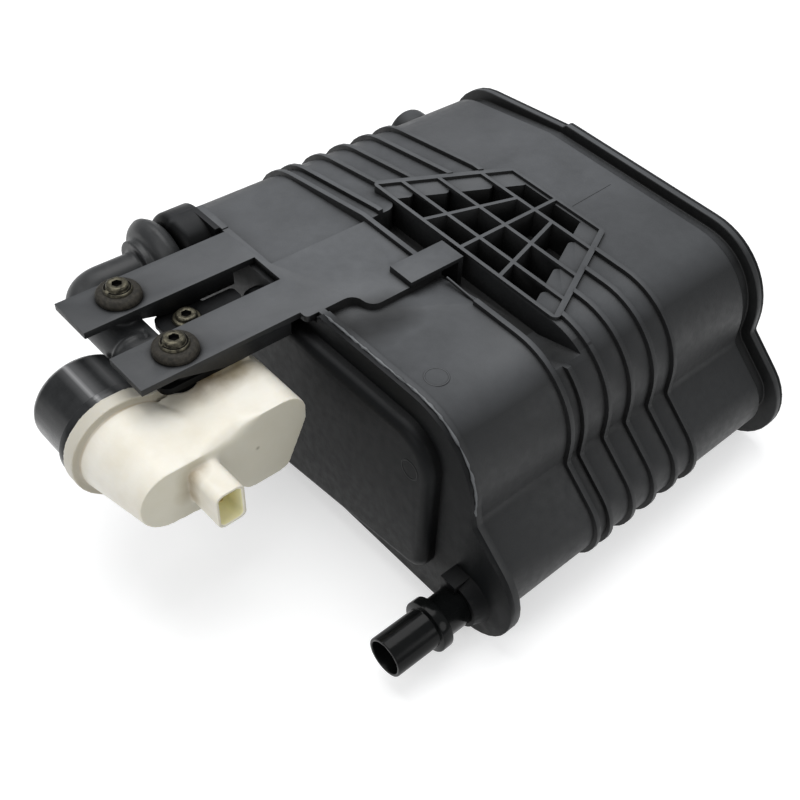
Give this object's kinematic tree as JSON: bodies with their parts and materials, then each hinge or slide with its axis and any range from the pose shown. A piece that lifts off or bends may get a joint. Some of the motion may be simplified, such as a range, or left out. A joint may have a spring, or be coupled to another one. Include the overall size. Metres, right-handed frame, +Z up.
{
  "type": "charcoal canister",
  "caption": "Moulded box of activated carbon that stores fuel vapour, with a vent valve hung under its arms, a purge spigot and a rail pocket on top.",
  "frame": {"origin": "middle of the part's box, on the ground under its weld flanges", "axes": "+X from the vent valve to the rear lid, +Y away from the purge spigot's side, +Z up"},
  "size_m": [0.2944, 0.245, 0.1109],
  "materials": {
    "shell_nylon": "satin moulded nylon",
    "cap_nylon": "satin moulded nylon",
    "black_gloss": "glossy moulded nylon",
    "valve_ivory": "satin moulded polymer",
    "carbon": "pelletised activated carbon",
    "fleece": "needled fleece",
    "plate_grey": "moulded",
    "steel": "drawn and turned steel",
    "dark_steel": "olive passivated",
    "rubber": "matt",
    "foam": "open cell foam",
    "winding": "enamelled copper wire",
    "contact": "tinned brass"
  },
  "bodies": {
    "canister": {"canister_shell": "shell_nylon", "end_cap": "cap_nylon", "purge_spigot": "black_gloss", "rear_lid": "cap_nylon", "carbon_near": "carbon", "carbon_far": "carbon", "fleece_near_front": "fleece", "fleece_far_front": "fleece", "fleece_near_rear": "fleece", "fleece_far_rear": "fleece", "pressure_plate_near": "plate_grey", "pressure_plate_far": "plate_grey", "spring_near": "steel", "spring_middle": "steel", "spring_far": "steel", "vent_elbow": "black_gloss", "filter_cup": "black_gloss", "filter_foam": "foam", "seal_ring": "rubber", "valve_body": "valve_ivory", "coil_bobbin": "plate_grey", "coil_winding": "winding", "fixed_core": "steel", "return_spring": "steel", "plug_terminal_upper": "contact", "plug_terminal_lower": "contact", "carrier_bracket": "cap_nylon", "grommet_near": "rubber", "grommet_far": "rubber", "sleeve_near": "steel", "sleeve_far": "steel", "screw_near": "dark_steel", "screw_far": "dark_steel", "screw_low": "dark_steel"},
    "valve_plunger": {"plunger": "steel", "seal_disc": "rubber"}
  },
  "joints": [
    {"name": "plunger_travel", "type": "slide", "parent": "canister", "child": "valve_plunger", "axis": [0, 1, 0], "range_m": [-0.0025, 0], "stiffness_N_per_m": 400, "springref_m": 0.002, "deforming": ["return_spring"]}
  ]
}
